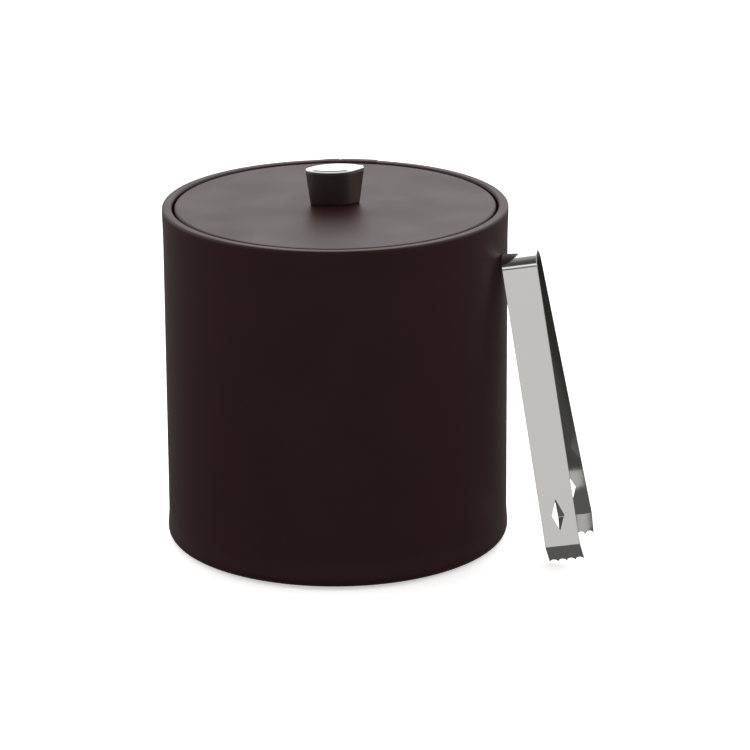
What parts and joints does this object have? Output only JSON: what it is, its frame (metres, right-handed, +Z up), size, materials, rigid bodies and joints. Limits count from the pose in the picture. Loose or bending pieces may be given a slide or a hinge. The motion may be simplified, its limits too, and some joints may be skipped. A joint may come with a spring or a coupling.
{
  "type": "ice bucket",
  "caption": "Round padded ice bucket with a smooth leatherette wall, flush lift-off lid with an oval knob, moulded liner, and spring tongs leaning on its side.",
  "frame": {"origin": "on the bucket's axis, in the plane of the table it stands on", "axes": "+Z up; +Y towards the seam at the back of the wall; the tongs lean on the +X side"},
  "size_m": [0.2558, 0.2047, 0.2264],
  "materials": {
    "vinyl": "satin, smooth dark brown leatherette",
    "foam_grey": "matt foam padding",
    "fibreboard": "matt fibreboard",
    "foam_white": "expanded foam",
    "liner": "smooth black moulding",
    "pad": "matt black foam rubber pad",
    "knob": "satin dark brown moulding",
    "chrome": "polished chrome plate",
    "zinc": "zinc-plated",
    "steel": "polished stainless strip"
  },
  "bodies": {
    "bucket": {"core_tube": "fibreboard", "wall_padding": "foam_grey", "wall_cover": "vinyl", "base_board": "fibreboard", "base_pad": "pad", "base_insulation": "foam_white", "wall_insulation": "foam_white", "liner": "liner"},
    "lid": {"lid_board": "fibreboard", "lid_padding": "foam_grey", "lid_cover": "vinyl", "lid_insulation": "foam_white", "lid_tray": "liner", "knob_body": "knob", "knob_cap": "chrome", "knob_screw": "zinc", "knob_washer": "zinc"},
    "tongs": {"tongs_bow": "steel"},
    "front_arm": {"tongs_front_arm": "steel"},
    "rear_arm": {"tongs_rear_arm": "steel"}
  },
  "joints": [
    {"name": "lid_lift", "type": "slide", "parent": "bucket", "child": "lid", "axis": [0, 0, 1], "range_m": [0, 0.25]},
    {"name": "tongs_lift", "type": "slide", "parent": "bucket", "child": "tongs", "axis": [0.7675, -0.2259, 0.6], "range_m": [0, 0.2]},
    {"name": "front_arm_squeeze", "type": "hinge", "parent": "tongs", "child": "front_arm", "pos_m": [0.10808, -0.03868, 0.17507], "axis": [0.971, -0.1607, 0.1771], "range_deg": [0, 6.5], "stiffness_Nm_per_rad": 4},
    {"name": "rear_arm_squeeze", "type": "hinge", "parent": "tongs", "child": "rear_arm", "pos_m": [0.11071, -0.02277, 0.17507], "axis": [-0.971, 0.1607, -0.1771], "range_deg": [0, 6.5], "stiffness_Nm_per_rad": 4}
  ],
  "couplings": [
    {"joint": "rear_arm_squeeze", "follows": "front_arm_squeeze", "ratio": 1}
  ]
}
